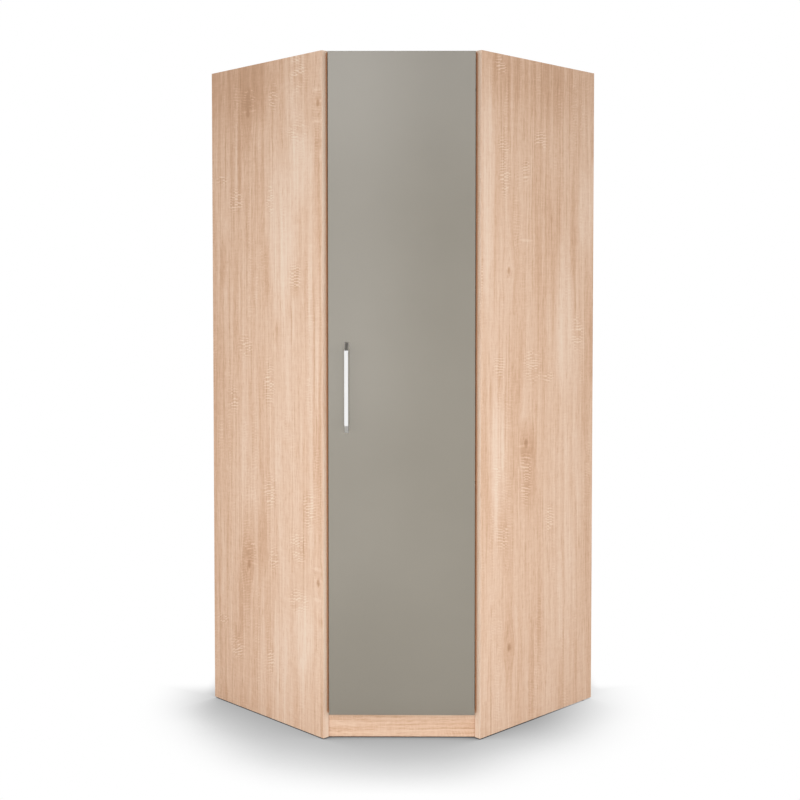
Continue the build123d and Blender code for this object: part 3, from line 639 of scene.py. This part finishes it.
FLOOR_RADIUS = 7.0
FLOOR_SIDES = 64
FLOOR_MATT = (0.8, 0.8, 0.8, 1)
SHADOW_REACH = 0.43
SHADOW_SAMPLES = 24

# The grey of the floor for each share of open sky above it: in front of the door, and in front of
# the end panels, where the shadow fades sooner.
FRONT_GREYS = (
    (0.0, 0.02), (0.28, 0.15), (0.42, 0.37), (0.5, 0.44),
    (0.74, 0.59), (0.89, 0.78), (0.98, 0.97), (1.0, 1.0))
PANEL_GREYS = (
    (0.0, 0.02), (0.28, 0.1), (0.45, 0.29), (0.52, 0.41),
    (0.74, 0.7), (0.82, 0.85), (0.9, 0.95), (0.97, 1.0))
PANEL_Y = (-0.15, -0.4)
PANEL_LEFT_X = (-0.35, -0.7)
PANEL_RIGHT_X = (0.1, 0.45)

# Where the shadow ends at either side, and beside the rear ends of the end panels.
END_LEFT_X = (-0.6, -0.9)
END_RIGHT_X = (0.4, 0.88)
REAR_Y = (-0.12, 0.06)
REAR_X = (0.61, 0.69)


def plate(name, corners, faces=None):
    """A flat piece of the stage, with one face round its corners unless faces are given."""
    mesh = bpy.data.meshes.new(name)
    mesh.from_pydata(corners, [], faces or [tuple(range(len(corners)))])
    obj = bpy.data.objects.new(name, mesh)
    bpy.context.scene.collection.objects.link(obj)
    return obj


def seen_share(tree):
    """1 for what is seen straight, in a reflection or through glass, 0 for light on the object."""
    path = tree.nodes.new("ShaderNodeLightPath")
    share = path.outputs["Is Camera Ray"]
    for ray in ("Is Glossy Ray", "Is Transmission Ray"):
        either = tree.nodes.new("ShaderNodeMath")
        either.operation = "MAXIMUM"
        tree.links.new(share, either.inputs[0])
        tree.links.new(path.outputs[ray], either.inputs[1])
        share = either.outputs[0]
    return share


def shadow(shader, open_sky, greys):
    return shader.ramp(open_sky, tuple((place, (grey, grey, grey, 1)) for place, grey in greys))


def floor_material():
    shader = Shader("floor_white")
    occlusion = shader.add("ShaderNodeAmbientOcclusion", samples=SHADOW_SAMPLES)
    occlusion.inputs["Distance"].default_value = SHADOW_REACH
    open_sky = occlusion.outputs["AO"]
    x, y = shader.axes(RIGHT, BACK)
    by_panels = shader.product(
        shader.span(y, *PANEL_Y),
        shader.math("MAXIMUM", shader.span(x, *PANEL_LEFT_X), shader.span(x, *PANEL_RIGHT_X)))
    shade = shader.colour_mix(
        by_panels, shadow(shader, open_sky, FRONT_GREYS), shadow(shader, open_sky, PANEL_GREYS))
    past_ends = shader.math(
        "MAXIMUM", shader.span(x, *END_LEFT_X), shader.span(x, *END_RIGHT_X))
    behind_ends = shader.product(
        shader.span(y, *REAR_Y), shader.span(shader.math("ABSOLUTE", x), *REAR_X))
    lit = shader.math("MAXIMUM", past_ends, behind_ends)
    matt = shader.add("ShaderNodeBsdfDiffuse")
    matt.inputs["Color"].default_value = FLOOR_MATT
    mix = shader.add("ShaderNodeMixShader")
    shader.feed(mix.inputs[0], seen_share(shader.tree))
    shader.feed(mix.inputs[1], matt.outputs[0])
    shader.feed(mix.inputs[2], shader.emission(shader.colour_mix(lit, shade, WHITE)))
    return shader.finish(mix.outputs[0])


rim = [
    (FLOOR_RADIUS * math.cos(turn), FLOOR_RADIUS * math.sin(turn), 0)
    for turn in (2 * math.pi * step / FLOOR_SIDES for step in range(FLOOR_SIDES))]
floor = plate("floor", rim)
floor.data.materials.append(floor_material())

# World. It is white where it is seen, and lights the object more dimly.

WORLD_LIGHT = 0.56
WORLD_SEEN = 1.0

world = bpy.data.worlds.new("studio")
bpy.context.scene.world = world
world.use_nodes = True
world_tree = world.node_tree
background = world_tree.nodes["Background"]
background.inputs["Color"].default_value = WHITE
world_level = world_tree.nodes.new("ShaderNodeMapRange")
world_level.inputs["To Min"].default_value = WORLD_LIGHT
world_level.inputs["To Max"].default_value = WORLD_SEEN
world_tree.links.new(seen_share(world_tree), world_level.inputs["Value"])
world_tree.links.new(world_level.outputs[0], background.inputs["Strength"])

# Lamps: place, the point that each is aimed at, width, height and power in watts.

LAMPS = {
    "left_light": ((-1.7, -1.7, 1.1), (-0.3, -0.35, 1.05), 1.4, 1.4, 7.5),
    "right_light": ((1.7, -1.7, 1.1), (0.3, -0.35, 1.05), 1.4, 1.4, 7.0),
    "front_light": ((0.0, -3.0, 1.15), (0.0, -0.4, 1.1), 1.4, 1.4, 19.0),
    "low_light": ((0.1, -2.5, 0.4), (0.05, -0.4, 0.2), 1.3, 0.6, 8.0),
    "rear_light": ((0.0, 3.4, 1.4), (0.0, 0.4, 1.1), 1.8, 1.8, 40.0),
    "top_light": ((0.0, 0.5, 4.3), (0.0, 0.1, 2.1), 1.2, 1.2, 17.0),
}

for name, (place, aim, width, height, power) in LAMPS.items():
    lamp = bpy.data.lights.new(name, "AREA")
    lamp.shape = "RECTANGLE"
    lamp.size = width
    lamp.size_y = height
    lamp.energy = power
    obj = bpy.data.objects.new(name, lamp)
    bpy.context.scene.collection.objects.link(obj)
    obj.location = place
    obj.rotation_euler = (Vector(aim) - Vector(place)).to_track_quat("-Z", "Y").to_euler()
    obj.visible_camera = False
    obj.visible_glossy = False


def only_in_reflections(obj):
    obj.visible_camera = False
    obj.visible_diffuse = False
    obj.visible_transmission = False
    obj.visible_shadow = False


# A softbox that only the door reflects gives its gloss a sheen. It has an upright sheet in front of
# the wardrobe and a flat one just above the floor. It glows more at the left and high up, and the
# flat one fades towards the wardrobe.

SOFTBOX_LEFT, SOFTBOX_RIGHT = -3, 2.5
SOFTBOX_FAR, SOFTBOX_NEAR = -6, -1.2
SOFTBOX_LOW, SOFTBOX_HIGH = 0.01, 5
GLOW_BESIDE = (0.3, -0.45, 0.3, 1.45)
GLOW_ABOVE = (1.8, 3.1, 0.0, 1.2)
GLOW_RISING = (0.0, 0.8, 0.4, 1.0)
GLOW_FADING = (-1.3, -3.2)

softbox = plate("softbox", [
    (SOFTBOX_LEFT, SOFTBOX_FAR, SOFTBOX_HIGH), (SOFTBOX_LEFT, SOFTBOX_FAR, SOFTBOX_LOW),
    (SOFTBOX_RIGHT, SOFTBOX_FAR, SOFTBOX_LOW), (SOFTBOX_RIGHT, SOFTBOX_FAR, SOFTBOX_HIGH),
    (SOFTBOX_LEFT, SOFTBOX_NEAR, SOFTBOX_LOW), (SOFTBOX_RIGHT, SOFTBOX_NEAR, SOFTBOX_LOW)], [
    (0, 1, 2, 3), (1, 4, 5, 2)])
box_shader = Shader("softbox_glow")
box_x, box_y, box_z = box_shader.axes(RIGHT, BACK, UP)
box_level = box_shader.total(
    box_shader.product(
        box_shader.span(box_x, *GLOW_BESIDE),
        box_shader.product(
            box_shader.span(box_z, *GLOW_RISING), box_shader.span(box_y, *GLOW_FADING))),
    box_shader.span(box_z, *GLOW_ABOVE))
box_sum = box_shader.add("ShaderNodeAddShader")
box_shader.feed(box_sum.inputs[0], box_shader.emission(strength=box_level))
box_shader.feed(box_sum.inputs[1], box_shader.add("ShaderNodeBsdfTransparent").outputs[0])
softbox.data.materials.append(box_shader.finish(box_sum.outputs[0]))
only_in_reflections(softbox)
gloss_parts = bpy.data.collections.new("softbox_receivers")
gloss_parts.objects.link(nodes["door_panel"])
softbox.light_linking.receiver_collection = gloss_parts

# A dark card overhead, also only for reflections, gives the polished metal its contrast.

CARD_HALF_WIDTH = 1.6
CARD_FRONT, CARD_REAR = -2.4, 0.2
CARD_HEIGHT = 3.0
CARD_GREY = (0.06, 0.06, 0.06, 1)

card = plate("dark_card", [
    (-CARD_HALF_WIDTH, CARD_FRONT, CARD_HEIGHT), (-CARD_HALF_WIDTH, CARD_REAR, CARD_HEIGHT),
    (CARD_HALF_WIDTH, CARD_REAR, CARD_HEIGHT), (CARD_HALF_WIDTH, CARD_FRONT, CARD_HEIGHT)])
card_shader = Shader("dark_card_grey")
card.data.materials.append(card_shader.finish(card_shader.emission(CARD_GREY)))
only_in_reflections(card)

# Camera, as fitted to the photo's 800 by 800 pixels.

IMAGE_SIZE = 800
CAMERA_PLACE = (0.0347, -4.2422, 1.3614)
CAMERA_YAW = math.radians(0.369)
CAMERA_PITCH = math.radians(2.003)
FOCAL_PIXELS = 1234.8
AXIS_PIXEL = (405.2, 338.9)
SENSOR = 36.0
CLIP_END = 60

camera_data = bpy.data.cameras.new("camera")
camera_data.sensor_width = SENSOR
camera_data.lens = SENSOR * FOCAL_PIXELS / IMAGE_SIZE
camera_data.shift_x = (IMAGE_SIZE / 2 - AXIS_PIXEL[0]) / IMAGE_SIZE
camera_data.shift_y = (AXIS_PIXEL[1] - IMAGE_SIZE / 2) / IMAGE_SIZE
camera_data.clip_end = CLIP_END
camera = bpy.data.objects.new("camera", camera_data)
bpy.context.scene.collection.objects.link(camera)
camera.location = CAMERA_PLACE
camera.rotation_euler = (math.pi / 2 - CAMERA_PITCH, 0, CAMERA_YAW)
bpy.context.scene.camera = camera
bpy.context.scene.view_settings.view_transform = "Standard"
